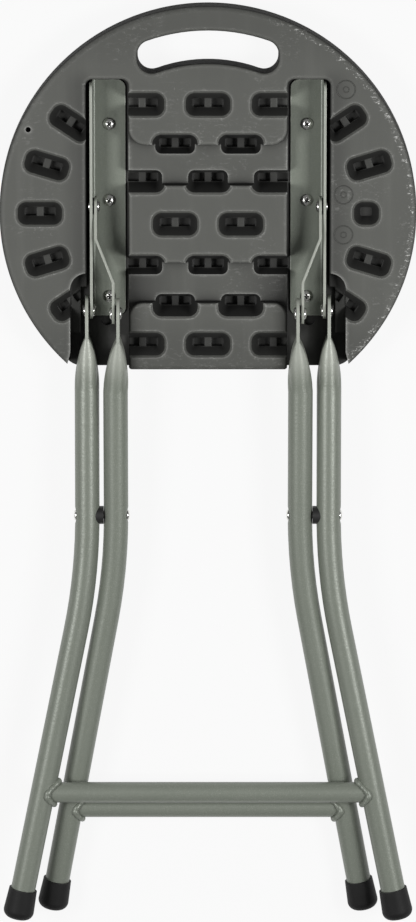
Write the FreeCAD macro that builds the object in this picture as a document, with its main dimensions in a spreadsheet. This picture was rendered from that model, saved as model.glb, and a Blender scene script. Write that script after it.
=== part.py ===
"""Folding stool, folded and lying on its sitting face.

Millimetres. The sitting face lies on z = 0 about the origin, the underside looks up (+Z),
the hand slot is towards +Y and the feet towards -Y. Right-hand pieces (+X) are modelled and
the left-hand ones are their mirror images.
"""
import FreeCAD, Part
import collections
import math
import os

import Sketcher

Vector = FreeCAD.Vector
Placement = FreeCAD.Placement
Rotation = FreeCAD.Rotation

DIMENSIONS = {
    # Moulded seat
    "seat_radius": 160.0,
    "seat_thickness": 32.0,
    "seat_chord": 122.0,
    "seat_corner_round": 14.0,
    "seat_face_round": 8.0,
    "seat_back_round": 4.0,
    "slot_margin": 19.0,
    "slot_width": 25.0,
    "slot_half_length": 54.0,
    "slot_corner_round": 11.0,
    "slot_rim_round": 2.5,
    "channel_inner": 61.0,
    "channel_outer": 93.4,
    "channel_top": 103.6,
    "channel_depth": 22.0,
    "channel_corner_round": 5.0,
    "recess_outer": 106.0,
    "recess_top": -46.5,
    "recess_flare": 4.0,
    "recess_flare_start": -108.0,
    "shelf_inner": 98.0,
    "shelf_bottom": -95.0,
    "shelf_depth": 13.0,
    "field_centre": -8.4,
    "plateau_half": 30.3,
    "band_height": 30.8,
    "band_depth": 10.0,
    "upper_plateau_round": 13.0,
    "middle_plateau_round": 3.0,
    "lower_plateau_round": 11.0,
    "field_edge_round": 2.2,
    # Kiss-off pockets of the moulding
    "pocket_length": 35.5,
    "pocket_width": 19.0,
    "pocket_corner_round": 7.5,
    "pocket_taper_angle": 26.0,
    "pocket_depth": 12.0,
    "band_pocket_taper_angle": 14.0,
    "band_pocket_depth": 22.0,
    "lip_depth": 1.4,
    "lip_angle": 52.0,
    "short_pocket_length": 20.5,
    "well_length": 8.4,
    "well_width": 6.6,
    "well_depth": 6.0,
    "well_spread": 6.9,
    "row_one": 84.3,
    "row_two": 52.0,
    "row_three": 25.3,
    "row_four": -8.4,
    "row_five": -41.8,
    "row_six": -71.1,
    "row_seven": -101.9,
    "column_pitch": 50.5,
    "wing_margin": 31.0,
    "wing_step_angle": 16.8,
    "wing_end_inset": 3.0,
    "vent_radius": 2.0,
    "vent_margin": 7.9,
    "vent_angle": 154.7,
    "vent_depth": 10.0,
    "keyhole_radius": 4.5,
    "keyhole_across": 78.0,
    "keyhole_up": -86.0,
    "keyhole_depth": 4.0,
    # Bracket, pressed from sheet
    "bracket_sheet": 2.0,
    "bracket_bend": 2.0,
    "bracket_inner": 63.5,
    "bracket_top": 101.2,
    "bracket_bottom": -82.6,
    "bracket_corner_round": 6.5,
    "flange_face": 90.6,
    "flange_rise": 8.0,
    "flange_corner_round": 7.0,
    # Screws
    "screw_across": 76.0,
    "screw_one": 66.8,
    "screw_two": 7.4,
    "screw_three": -67.4,
    "screw_head_radius": 4.8,
    "screw_head_height": 2.6,
    "screw_shank_radius": 2.2,
    "screw_bite": 6.0,
    # Fold linkage
    "pivot_height": 24.6,
    "leg_pivot_up": -76.4,
    "strut_pivot_up": 4.8,
    "cross_distance": 160.0,
    "outer_slope_angle": 1.8,
    "inner_slope_angle": 3.2,
    # Pins and washers
    "rivet_radius": 3.0,
    "rivet_head_radius": 5.0,
    "rivet_head_height": 2.0,
    "cross_head_radius": 4.3,
    "washer_radius": 6.5,
    "washer_thickness": 1.2,
    "running_clearance": 0.05,
    "side_clearance": 0.2,
    "open_pivot_gap": 0.3,
    # Leg tubes
    "tube_radius": 9.5,
    "tube_wall": 1.5,
    "outer_tube_across": 93.4,
    "inner_tube_across": 71.2,
    "inner_blade_across": 69.0,
    "blade_thickness": 2.4,
    "blade_width": 24.0,
    "blade_flat": 20.0,
    "ogive_length": 42.0,
    "ogive_middle": 15.0,
    "ogive_middle_width": 21.8,
    "ogive_middle_thickness": 13.0,
    "bend_start": 160.0,
    "bend_radius": 455.0,
    "outer_splay_angle": 11.5,
    "inner_splay_angle": 10.5,
    "leg_drop": 472.0,
    "dimple_depth": 1.2,
    "dimple_floor_radius": 5.0,
    "dimple_mouth_radius": 9.5,
    "dimple_mouth_height": 3.0,
    "spacer_radius": 7.0,
    # Rails
    "rail_radius": 8.0,
    "rail_wall": 1.2,
    "outer_rail_rise": 92.6,
    "inner_rail_rise": 75.2,
    # Feet
    "foot_length": 24.0,
    "foot_rim_radius": 10.9,
    "foot_base_radius": 11.9,
    "foot_dome": 6.5,
    "foot_sole": 8.0,
    # Struts
    "strut_thickness": 2.0,
    "strut_width": 16.0,
    "strut_upper_run": 25.0,
    "strut_joggle_run": 34.0,
}

PLATEAU_ROWS = (
    ("row_one", (-1.0, 0.0, 1.0)),
    ("row_four", (-0.5, 0.5)),
    ("row_seven", (-1.0, 0.0, 1.0)),
)
BAND_ROWS = (
    ("row_two", (-0.5, 0.5)),
    ("row_three", (-1.0, 0.0, 1.0)),
    ("row_five", (-1.0, 0.0, 1.0)),
    ("row_six", (-0.5, 0.5)),
)
WING_STEPS = (-2, -1, 0, 1, 2)
OVERRUN = 2.0

doc = FreeCAD.newDocument("FoldingStool")
sheet = doc.addObject("Spreadsheet::Sheet", "Sheet")
for line, (alias, number) in enumerate(DIMENSIONS.items(), start=1):
    sheet.set("A%d" % line, alias)
    sheet.set("B%d" % line, str(number))
    sheet.setAlias("B%d" % line, alias)
doc.recompute()

pieces = {}


class Size:
    """A number together with the sheet expression that gives it."""

    def __init__(self, text, number):
        self.text = text
        self.number = number

    def __add__(self, other):
        other = as_size(other)
        return Size("(%s + %s)" % (self.text, other.text), self.number + other.number)

    def __sub__(self, other):
        other = as_size(other)
        return Size("(%s - %s)" % (self.text, other.text), self.number - other.number)

    def __mul__(self, other):
        other = as_size(other)
        return Size("(%s * %s)" % (self.text, other.text), self.number * other.number)

    def __truediv__(self, other):
        other = as_size(other)
        return Size("(%s / %s)" % (self.text, other.text), self.number / other.number)

    def __neg__(self):
        return Size("(-1 * %s)" % self.text, -self.number)

    def __radd__(self, other):
        return as_size(other) + self

    def __rsub__(self, other):
        return as_size(other) - self

    def __rmul__(self, other):
        return as_size(other) * self


def as_size(number):
    if isinstance(number, Size):
        return number
    return Size("%.9g" % number, float(number))


def size(alias):
    return Size("Sheet.%s" % alias, float(sheet.get(alias)))


def cosine(angle):
    return Size("cos(%s)" % angle.text, math.cos(math.radians(angle.number)))


def sine(angle):
    return Size("sin(%s)" % angle.text, math.sin(math.radians(angle.number)))


def tangent(angle):
    return Size("tan(%s)" % angle.text, math.tan(math.radians(angle.number)))


def bind(item, name, amount):
    """Tie one property or constraint of an object to its sheet expression."""
    item.setExpression(name, as_size(amount).text)


def place(item, x=0.0, y=0.0, z=0.0, axis=None, angle=0.0):
    """Give an object a placement whose numbers follow the sheet."""
    spot = [as_size(part) for part in (x, y, z)]
    turn = as_size(angle)
    base = Vector(*[part.number for part in spot])
    rotation = Rotation(axis, turn.number) if axis else Rotation()
    item.Placement = Placement(base, rotation)
    for letter, part in zip("xyz", spot):
        bind(item, "Placement.Base.%s" % letter, part)
    if axis and isinstance(angle, Size):
        bind(item, "Placement.Rotation.Angle", turn)


def new_body(name):
    return doc.addObject("PartDesign::Body", name)


def new_sketch(body, role, name, offset=0.0):
    """A sketch on one of the body's own origin planes, moved along that plane's normal."""
    plane = [part for part in body.Origin.OriginFeatures if part.Role == role][0]
    sketch = body.newObject("Sketcher::SketchObject", name)
    sketch.AttachmentSupport = [(plane, "")]
    sketch.MapMode = "FlatFace"
    lift = as_size(offset)
    sketch.AttachmentOffset = Placement(Vector(0, 0, lift.number), Rotation())
    bind(sketch, "AttachmentOffset.Base.z", lift)
    return sketch


def pin_coordinate(sketch, axis, geometry, point, amount):
    """Hold one coordinate of a sketch point at a distance from the origin."""
    amount = as_size(amount)
    if abs(amount.number) < 1e-9:
        axis_line = -2 if axis == "X" else -1
        sketch.addConstraint(Sketcher.Constraint("PointOnObject", geometry, point, axis_line))
        return
    kind = "Distance%s" % axis
    if amount.number > 0:
        rule = Sketcher.Constraint(kind, -1, 1, geometry, point, amount.number)
    else:
        amount = -amount
        rule = Sketcher.Constraint(kind, geometry, point, -1, 1, amount.number)
    index = sketch.addConstraint(rule)
    bind(sketch, "Constraints[%d]" % index, amount)


def circle(sketch, x, y, radius):
    spot = Vector(as_size(x).number, as_size(y).number, 0)
    index = sketch.addGeometry(Part.Circle(spot, Vector(0, 0, 1), radius.number))
    pin_coordinate(sketch, "X", index, 3, x)
    pin_coordinate(sketch, "Y", index, 3, y)
    rule = sketch.addConstraint(Sketcher.Constraint("Radius", index, radius.number))
    bind(sketch, "Constraints[%d]" % rule, radius)


def outline(sketch, corners, closed=True):
    """Lines and arcs through corners.

    A corner is (x, y), or (x, y, (centre_x, centre_y, turn)) where an arc about that centre
    leads to the next corner; turn is 1 anticlockwise and -1 clockwise.
    """
    spots = [Vector(as_size(c[0]).number, as_size(c[1]).number, 0) for c in corners]
    count = len(corners)
    made = []
    for index in range(count if closed else count - 1):
        start = spots[index]
        end = spots[(index + 1) % count]
        arc = corners[index][2] if len(corners[index]) > 2 else None
        if arc is None:
            made.append((sketch.addGeometry(Part.LineSegment(start, end)), 1, 2, None))
            continue
        centre = Vector(as_size(arc[0]).number, as_size(arc[1]).number, 0)
        first, last = (start, end) if arc[2] > 0 else (end, start)
        ring = Part.Circle(centre, Vector(0, 0, 1), (start - centre).Length)
        angles = [math.atan2(p.y - centre.y, p.x - centre.x) for p in (first, last)]
        if angles[1] <= angles[0]:
            angles[1] += 2 * math.pi
        curve = Part.ArcOfCircle(ring, angles[0], angles[1])
        ends = (1, 2) if arc[2] > 0 else (2, 1)
        made.append((sketch.addGeometry(curve), ends[0], ends[1], arc))
    for index in range(len(made) if closed else len(made) - 1):
        here = made[index]
        after = made[(index + 1) % len(made)]
        sketch.addConstraint(Sketcher.Constraint("Coincident", here[0], here[2], after[0], after[1]))
    for index, (geometry, first, last, arc) in enumerate(made):
        pin_coordinate(sketch, "X", geometry, first, corners[index][0])
        pin_coordinate(sketch, "Y", geometry, first, corners[index][1])
    if not closed:
        geometry, first, last, arc = made[-1]
        pin_coordinate(sketch, "X", geometry, last, corners[-1][0])
        pin_coordinate(sketch, "Y", geometry, last, corners[-1][1])
    for index, (geometry, first, last, arc) in enumerate(made):
        if arc is None:
            continue
        chord = spots[(index + 1) % count] - spots[index]
        if abs(chord.y) > abs(chord.x):
            pin_coordinate(sketch, "X", geometry, 3, arc[0])
        else:
            pin_coordinate(sketch, "Y", geometry, 3, arc[1])


def rectangle(sketch, left, right, low, high):
    outline(sketch, [(left, low), (right, low), (right, high), (left, high)])


def rounded_rectangle(sketch, half_length, half_width, corner):
    """A centred rectangle whose corners are arcs."""
    x = half_length - corner
    y = half_width - corner
    outline(sketch, [
        (-x, -half_width),
        (x, -half_width, (x, -y, 1)),
        (half_length, -y),
        (half_length, y, (x, y, 1)),
        (x, half_width),
        (-x, half_width, (-x, y, 1)),
        (-half_length, y),
        (-half_length, -y, (-x, -y, 1)),
    ])


def pad(body, sketch, name, length, taper=None):
    feature = body.newObject("PartDesign::Pad", name)
    feature.Profile = sketch
    bind(feature, "Length", length)
    if taper is not None:
        bind(feature, "TaperAngle", taper)
    doc.recompute()
    return feature


def pocket(body, sketch, name, depth):
    before = body.Shape.Volume
    feature = body.newObject("PartDesign::Pocket", name)
    feature.Profile = sketch
    bind(feature, "Length", depth)
    doc.recompute()
    if body.Shape.Volume >= before:
        raise RuntimeError("%s cuts nothing" % name)
    return feature


def fillet(body, name, radius, wanted):
    """Round every edge of the body's tip that wanted accepts."""
    tip = body.Tip
    edges = ["Edge%d" % n for n, edge in enumerate(tip.Shape.Edges, start=1) if wanted(edge)]
    if not edges:
        raise RuntimeError("%s finds no edge" % name)
    feature = body.newObject("PartDesign::Fillet", name)
    feature.Base = (tip, edges)
    bind(feature, "Radius", radius)
    doc.recompute()
    return feature


def is_level(edge, height):
    box = edge.BoundBox
    return abs(box.ZMin - height) < 1e-3 and abs(box.ZMax - height) < 1e-3


def is_upright_at(edge, x, y):
    box = edge.BoundBox
    return (
        box.ZLength > 1.0
        and box.XLength < 1e-3
        and box.YLength < 1e-3
        and abs(abs(box.Center.x) - x) < 1e-2
        and abs(box.Center.y - y) < 1e-2
    )


def turned(name, corners):
    """A body turned about the X axis from a half outline of (x, radius) corners."""
    body = new_body(name)
    sketch = new_sketch(body, "XY_Plane", name + "_section")
    outline(sketch, corners)
    feature = body.newObject("PartDesign::Revolution", name + "_turn")
    feature.Profile = sketch
    feature.ReferenceAxis = (sketch, ["H_Axis"])
    feature.Angle = 360.0
    doc.recompute()
    return body


def cylinder(name, radius, length):
    item = doc.addObject("Part::Cylinder", name)
    bind(item, "Radius", radius)
    bind(item, "Height", length)
    return item


def along_x(item, x, y, z):
    """Lay a Part primitive made along Z out along X, starting at x."""
    place(item, x, y, z, Vector(0, 1, 0), 90.0)


def fused(name, items):
    item = doc.addObject("Part::MultiFuse", name)
    item.Shapes = items
    return item


def cut(name, base, tool):
    item = doc.addObject("Part::Cut", name)
    item.Base = base
    item.Tool = tool
    return item


def mirrored(name, source):
    item = doc.addObject("Part::Mirroring", name)
    item.Source = source
    item.Normal = Vector(1, 0, 0)
    return item


def keep(node, item):
    item.Label = node
    pieces[node] = item


def keep_pair(node, right):
    """Keep a right-hand piece and its mirror image."""
    keep("right_" + node, right)
    keep("left_" + node, mirrored("Left_" + node, right))


def copies(name, source, places):
    """One shape holding a copy of the source's shape at each place."""
    doc.recompute()
    item = doc.addObject("Part::Feature", name)
    shapes = []
    for spot in places:
        shape = source.Shape.copy()
        shape.Placement = spot.multiply(shape.Placement)
        shapes.append(shape)
    item.Shape = Part.makeCompound(shapes)
    return item


# Where the linkage stands when folded: A leg on bracket, B strut on bracket, M crossing, C strut on leg
pivot_a = (size("leg_pivot_up"), size("pivot_height"))
pivot_b = (size("strut_pivot_up"), size("pivot_height"))
pivot_m = (
    pivot_a[0] - size("cross_distance") * cosine(size("outer_slope_angle")),
    pivot_a[1] + size("cross_distance") * sine(size("outer_slope_angle")),
)
pivot_c = (
    pivot_m[0] + size("cross_distance") * cosine(size("inner_slope_angle")),
    pivot_m[1] + size("cross_distance") * sine(size("inner_slope_angle")),
)
strut_reach = math.hypot(pivot_b[0].number - pivot_c[0].number, pivot_c[1].number - pivot_b[1].number)
strut_lift = math.degrees(
    math.atan2(pivot_c[1].number - pivot_b[1].number, pivot_b[0].number - pivot_c[0].number)
)

# Faces across the right-hand pivots, from the inside out
flange_outside = size("flange_face")
flange_inside = flange_outside - size("bracket_sheet")
strut_upper_outside = flange_inside - size("washer_thickness") - size("side_clearance")
strut_upper_inside = strut_upper_outside - size("strut_thickness")
outer_blade_inside = flange_outside + size("washer_thickness") + size("side_clearance")
outer_blade_outside = outer_blade_inside + size("blade_thickness")
inner_blade_inside = size("inner_blade_across") - size("blade_thickness") / 2
inner_blade_outside = size("inner_blade_across") + size("blade_thickness") / 2
strut_lower_inside = inner_blade_outside + size("washer_thickness") + size("open_pivot_gap")
strut_lower_outside = strut_lower_inside + size("strut_thickness")
hole_radius = size("rivet_radius") + size("running_clearance")
channel_floor = size("seat_thickness") - size("channel_depth")
plate_top = channel_floor + size("bracket_sheet")
slot_outer = size("seat_radius") - size("slot_margin")
slot_inner = slot_outer - size("slot_width")

LegFrame = collections.namedtuple("LegFrame", "pivot slope downward tube blade splay")
outer_frame = LegFrame(
    pivot_a, size("outer_slope_angle"), False, size("outer_tube_across"),
    outer_blade_inside + size("blade_thickness") / 2, size("outer_splay_angle"),
)
inner_frame = LegFrame(
    pivot_c, size("inner_slope_angle"), True, size("inner_tube_across"),
    size("inner_blade_across"), size("inner_splay_angle"),
)


def seat_blank():
    """The moulded disc with its straight edge, hand slot, channels and stepped field."""
    body = new_body("SeatBlank")
    radius = size("seat_radius")
    chord = size("seat_chord")
    half = math.sqrt(radius.number ** 2 - chord.number ** 2)
    half_chord = Size("sqrt(%s ^ 2 - %s ^ 2)" % (radius.text, chord.text), half)
    rim = new_sketch(body, "XY_Plane", "SeatOutline")
    outline(rim, [(half_chord, -chord, (0.0, 0.0, 1)), (-half_chord, -chord)])
    top = size("seat_thickness")
    pad(body, rim, "SeatDisc", top)
    fillet(
        body, "SeatCorners", size("seat_corner_round"),
        lambda edge: is_upright_at(edge, half, -chord.number),
    )
    fillet(body, "SittingEdge", size("seat_face_round"), lambda edge: is_level(edge, 0.0))
    fillet(body, "UndersideEdge", size("seat_back_round"), lambda edge: is_level(edge, top.number))
    slot_through(body, top)
    channels(body, top)
    leg_recesses(body, top)
    stepped_field(body, top)
    return body


def slot_through(body, top):
    """The curved hand slot, concentric with the seat, with rounded rims."""
    reach = size("slot_half_length")
    rows = []
    for ring in (slot_outer, slot_inner):
        rise = math.sqrt(ring.number ** 2 - reach.number ** 2)
        rows.append(Size("sqrt(%s ^ 2 - %s ^ 2)" % (ring.text, reach.text), rise))
    sketch = new_sketch(body, "XY_Plane", "SlotOutline", top)
    outline(sketch, [
        (reach, rows[0], (0.0, 0.0, 1)),
        (-reach, rows[0]),
        (-reach, rows[1], (0.0, 0.0, -1)),
        (reach, rows[1]),
    ])
    pocket(body, sketch, "HandSlot", top)
    heights = [row.number for row in rows]
    fillet(
        body, "SlotCorners", size("slot_corner_round"),
        lambda edge: any(is_upright_at(edge, reach.number, height) for height in heights),
    )

    def on_rim(edge):
        box = edge.BoundBox
        within = abs(box.Center.x) < reach.number + 1 and box.YMin > heights[1] - 5
        level = is_level(edge, 0.0) or is_level(edge, top.number)
        return within and level and box.YMax < slot_outer.number + 1

    fillet(body, "SlotRims", size("slot_rim_round"), on_rim)


def channels(body, top):
    """The two bracket channels, open at the straight edge."""
    chord = size("seat_chord") + OVERRUN
    inner = size("channel_inner")
    outer = size("channel_outer")
    upper = size("channel_top")
    trench = new_sketch(body, "XY_Plane", "ChannelOutline", top)
    rectangle(trench, inner, outer, -chord, upper)
    rectangle(trench, -outer, -inner, -chord, upper)
    pocket(body, trench, "Channels", size("channel_depth"))
    fillet(
        body, "ChannelEnds", size("channel_corner_round"),
        lambda edge: any(is_upright_at(edge, x.number, upper.number) for x in (inner, outer)),
    )


def leg_recesses(body, top):
    """The wider leg recesses at the open ends of the channels, each with a raised shelf."""
    chord = size("seat_chord") + OVERRUN
    outer = size("channel_outer")
    middle = (size("channel_inner") + outer) / 2
    recess = new_sketch(body, "XY_Plane", "RecessOutline", top)
    deep = new_sketch(body, "XY_Plane", "DeepRecessOutline", top)
    wide = size("recess_outer")
    mouth = wide + size("recess_flare")
    flare = size("recess_flare_start")
    start = size("recess_top")
    shoulder = start - (wide - outer)
    edge = size("shelf_inner")
    bottom = size("shelf_bottom")
    for side in (1.0, -1.0):
        open_end = [(wide * side, flare), (mouth * side, -chord), (middle * side, -chord)]
        bend = (outer * side, shoulder, -side)
        round_end = [(middle * side, start), (outer * side, start, bend), (wide * side, shoulder)]
        outline(recess, round_end + open_end)
        step = [(middle, shoulder), (edge, shoulder), (edge, bottom), (wide, bottom)]
        outline(deep, [(x * side, y) for x, y in step] + open_end)
    pocket(body, recess, "LegRecesses", size("shelf_depth"))
    pocket(body, deep, "DeepRecesses", size("channel_depth"))


def stepped_field(body, top):
    """Two lowered bands across the centre field, leaving three rounded plateaus."""
    side = size("channel_inner") + OVERRUN
    centre = size("field_centre")
    half = size("plateau_half")
    tall = size("band_height")
    sketch = new_sketch(body, "XY_Plane", "BandOutline", top)
    rectangle(sketch, -side, side, centre + half, centre + half + tall)
    rectangle(sketch, -side, side, centre - half - tall, centre - half)
    pocket(body, sketch, "Bands", size("band_depth"))
    corners = (
        ("UpperPlateau", "upper_plateau_round", (centre + half + tall,)),
        ("MiddlePlateau", "middle_plateau_round", (centre + half, centre - half)),
        ("LowerPlateau", "lower_plateau_round", (centre - half - tall,)),
    )
    edge_x = size("channel_inner").number
    for name, alias, heights in corners:
        levels = [height.number for height in heights]
        fillet(
            body, name, size(alias),
            lambda edge: any(is_upright_at(edge, edge_x, level) for level in levels),
        )

    def on_field_rim(edge):
        box = edge.BoundBox
        inside = max(abs(box.XMin), abs(box.XMax)) < edge_x + 0.1
        return inside and is_level(edge, top.number) and box.YMax < slot_inner.number - 12

    fillet(body, "FieldEdges", size("field_edge_round"), on_field_rim)


def pocket_form(name, length, depth, taper):
    """A kiss-off pocket as a solid, drafted from its floor to its mouth, with a wider lip."""
    body = new_body(name)
    lip = size("lip_depth")
    stages = (
        (0.0, depth + OVERRUN, taper, "_mouth"),
        (depth - lip, lip + OVERRUN, size("lip_angle"), "_lip"),
    )
    for level, tall, angle, part_name in stages:
        narrowing = (depth - level) * tangent(taper)
        sketch = new_sketch(body, "XY_Plane", name + part_name + "_base", level)
        rounded_rectangle(
            sketch,
            length / 2 - narrowing,
            size("pocket_width") / 2 - narrowing,
            size("pocket_corner_round") - narrowing,
        )
        pad(body, sketch, name + part_name, tall, angle)
    return body


def pocket_wells(kind):
    """The two wells at the bottom of a full-length pocket, on either side of its pad."""
    body = new_body(kind + "PocketWells")
    sketch = new_sketch(body, "XY_Plane", kind + "WellOutline", -size("well_depth"))
    half_length = size("well_length") / 2
    half_width = size("well_width") / 2
    spread = size("well_spread")
    rectangle(sketch, spread - half_length, spread + half_length, -half_width, half_width)
    rectangle(sketch, -spread - half_length, -spread + half_length, -half_width, half_width)
    pad(body, sketch, kind + "WellPair", size("well_depth") + OVERRUN)
    return body


def pocket_places(rows, level):
    """Where the pockets of some rows of the centre field stand, at a floor level."""
    places = []
    for alias, columns in rows:
        for column in columns:
            spot = Vector(column * size("column_pitch").number, size(alias).number, level)
            places.append(Placement(spot, Rotation()))
    return places


def wing_places(level):
    """Where the pockets of both wings stand, apart from the short one on the right."""
    reach = size("seat_radius").number - size("wing_margin").number
    places = []
    for side in (0.0, 180.0):
        for count in WING_STEPS:
            if side == 0.0 and count == 0:
                continue
            inset = size("wing_end_inset").number if abs(count) == max(WING_STEPS) else 0.0
            turn = Rotation(Vector(0, 0, 1), side + count * size("wing_step_angle").number)
            places.append(Placement(turn.multVec(Vector(reach - inset, 0, level)), turn))
    return places


def seat_pockets():
    """All kiss-off pockets: full and short ones on the plateaus and wings, deep ones at the bands."""
    top = size("seat_thickness").number
    depth = size("pocket_depth")
    taper = size("pocket_taper_angle")
    length = size("pocket_length")
    short_length = size("short_pocket_length")
    long_form = fused("PocketForm", [pocket_form("LongPocket", length, depth, taper), pocket_wells("")])
    short_form = pocket_form("ShortPocket", short_length, depth, taper)
    band_depth = size("band_pocket_depth")
    band_taper = size("band_pocket_taper_angle")
    band_form = fused(
        "BandPocketForm", [pocket_form("BandPocket", length, band_depth, band_taper), pocket_wells("Band")]
    )
    level = top - depth.number
    plateau_places = pocket_places(PLATEAU_ROWS, level) + wing_places(level)
    short_reach = size("seat_radius") - size("wing_margin") - (length - short_length) / 2
    short_places = [Placement(Vector(short_reach.number, 0, level), Rotation())]
    return [
        copies("Pockets", long_form, plateau_places),
        copies("BandPockets", band_form, pocket_places(BAND_ROWS, top - band_depth.number)),
        copies("ShortPockets", short_form, short_places),
    ]


def seat_shell():
    """The seat with its kiss-off pockets, vent, keyholes and screw holes."""
    blank = seat_blank()
    tools = seat_pockets()
    vent = cylinder("Vent", size("vent_radius"), size("vent_depth") + OVERRUN)
    vent_reach = size("seat_radius") - size("vent_margin")
    vent_turn = size("vent_angle")
    place(
        vent, vent_reach * cosine(vent_turn), vent_reach * sine(vent_turn),
        size("seat_thickness") - size("vent_depth"),
    )
    tools.append(vent)
    for side in (1.0, -1.0):
        keyhole = cylinder("Keyhole", size("keyhole_radius"), size("keyhole_depth") + OVERRUN)
        place(
            keyhole, size("keyhole_across") * side, size("keyhole_up"), channel_floor - size("keyhole_depth")
        )
        tools.append(keyhole)
        for alias in ("screw_one", "screw_two", "screw_three"):
            radius = size("screw_shank_radius") + size("running_clearance")
            pilot = cylinder("Pilot", radius, size("screw_bite") + OVERRUN)
            place(pilot, size("screw_across") * side, size(alias), channel_floor - size("screw_bite"))
            tools.append(pilot)
    doc.recompute()
    cutters = doc.addObject("Part::Compound", "SeatCutters")
    cutters.Links = tools
    keep("seat_shell", cut("SeatShell", blank, cutters))


def bracket():
    """An angle bent from sheet: a plate on the channel floor and a flange for the pivots."""
    body = new_body("Bracket")
    sheet_thickness = size("bracket_sheet")
    inner = size("bracket_inner")
    bend = size("bracket_bend")
    rise = size("pivot_height") + size("flange_rise")
    outside = bend + sheet_thickness
    section = new_sketch(body, "XZ_Plane", "BracketSection", -size("bracket_top"))
    outline(section, [
        (inner, channel_floor),
        (flange_outside - outside, channel_floor, (flange_outside - outside, channel_floor + outside, 1)),
        (flange_outside, channel_floor + outside),
        (flange_outside, rise),
        (flange_inside, rise),
        (flange_inside, plate_top + bend, (flange_inside - bend, plate_top + bend, -1)),
        (flange_inside - bend, plate_top),
        (inner, plate_top),
    ])
    pad(body, section, "BracketBar", size("bracket_top") - size("bracket_bottom"))
    ends = (size("bracket_top").number, size("bracket_bottom").number)
    fillet(
        body, "PlateCorners", size("bracket_corner_round"),
        lambda edge: any(is_upright_at(edge, inner.number, end) for end in ends),
    )

    def is_flange_corner(edge):
        box = edge.BoundBox
        across = abs(box.XLength - sheet_thickness.number) < 1e-3 and box.YLength < 1e-3
        return across and box.ZLength < 1e-3 and abs(box.ZMax - rise.number) < 1e-3

    fillet(body, "FlangeCorners", size("flange_corner_round"), is_flange_corner)
    tools = []
    for up, height in (pivot_a, pivot_b):
        hole = cylinder("PivotHole", hole_radius, sheet_thickness + 2 * OVERRUN)
        along_x(hole, flange_inside - OVERRUN, up, height)
        tools.append(hole)
    for alias in ("screw_one", "screw_two", "screw_three"):
        radius = size("screw_shank_radius") + size("running_clearance")
        hole = cylinder("ScrewHole", radius, sheet_thickness + 2 * OVERRUN)
        place(hole, size("screw_across"), size(alias), channel_floor - OVERRUN)
        tools.append(hole)
    keep_pair("bracket", cut("RightBracket", body, fused("BracketHoles", tools)))


def bracket_screws():
    """Pan-head screws through the bracket plates into the moulding."""
    head = size("screw_head_height")
    body = turned("Screw", [
        (-size("bracket_sheet") - size("screw_bite"), 0.0),
        (head, 0.0),
        (head, size("screw_head_radius") - head, (0.0, size("screw_head_radius") - head, 1)),
        (0.0, size("screw_head_radius")),
        (0.0, size("screw_shank_radius")),
        (-size("bracket_sheet") - size("screw_bite"), size("screw_shank_radius")),
    ])
    upward = Rotation(Vector(0, 1, 0), -90.0)
    spots = []
    for side in (1.0, -1.0):
        for alias in ("screw_one", "screw_two", "screw_three"):
            spot = Vector(side * size("screw_across").number, size(alias).number, plate_top.number)
            spots.append(Placement(spot, upward))
    keep("bracket_screws", copies("BracketScrews", body, spots))


def rivet(node, pivot, inside, outside, head_radius, inner_head=True, outer_head=True):
    """A pin across a pivot, with a domed head at each end that has one."""
    pin = size("rivet_radius")
    dome = size("rivet_head_height")
    corners = [(inside, 0.0)]
    if inner_head:
        corners = [
            (inside - dome, 0.0),
            (inside - dome, head_radius - dome, (inside, head_radius - dome, -1)),
            (inside, head_radius),
        ]
    corners.append((inside, pin))
    corners.append((outside, pin))
    if outer_head:
        corners += [
            (outside, head_radius, (outside, head_radius - dome, -1)),
            (outside + dome, head_radius - dome),
            (outside + dome, 0.0),
        ]
    else:
        corners.append((outside, 0.0))
    body = turned("Right_" + node, corners)
    place(body, 0.0, pivot[0], pivot[1])
    keep_pair(node, body)


def washer(node, pivot, inside):
    body = turned("Right_" + node, [
        (inside, hole_radius),
        (inside + size("washer_thickness"), hole_radius),
        (inside + size("washer_thickness"), size("washer_radius")),
        (inside, size("washer_radius")),
    ])
    place(body, 0.0, pivot[0], pivot[1])
    keep_pair(node, body)


def across_at(leg, drop):
    """How far out a leg's centre line is, at a drop past its bend."""
    bend = size("bend_radius")
    past_bend = drop - size("bend_start") - bend * sine(leg.splay)
    return leg.tube + bend * (1.0 - cosine(leg.splay)) + past_bend * tangent(leg.splay)


def leg_spine(sketch, leg, start):
    """The tube's centre line: straight, one bend outward, straight to the foot."""
    bend = size("bend_radius")
    drop = size("bend_start")
    bend_end = drop + bend * sine(leg.splay)
    foot_end = size("leg_drop")
    outline(sketch, [
        (leg.tube, -start),
        (leg.tube, -drop, (leg.tube + bend, -drop, 1)),
        (across_at(leg, bend_end), -bend_end),
        (across_at(leg, foot_end), -foot_end),
    ], closed=False)


def tube_sweep(body, name, leg, start, radius):
    profile = new_sketch(body, "XZ_Plane", name + "_section", start)
    circle(profile, leg.tube, 0.0, radius)
    spine = new_sketch(body, "XY_Plane", name + "_spine")
    leg_spine(spine, leg, start)
    pipe = body.newObject("PartDesign::AdditivePipe", name + "_pipe")
    pipe.Profile = profile
    pipe.Spine = (spine, ["Edge1", "Edge2", "Edge3"])
    doc.recompute()


def quartered_circle(sketch, across, radius):
    """A circle of four arcs, so that it lofts edge to edge with a four-sided section."""
    reach = radius * math.sqrt(0.5)
    outline(sketch, [
        (across - reach, -reach, (across, 0.0, 1)),
        (across + reach, -reach, (across, 0.0, 1)),
        (across + reach, reach, (across, 0.0, 1)),
        (across - reach, reach, (across, 0.0, 1)),
    ])


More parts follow.
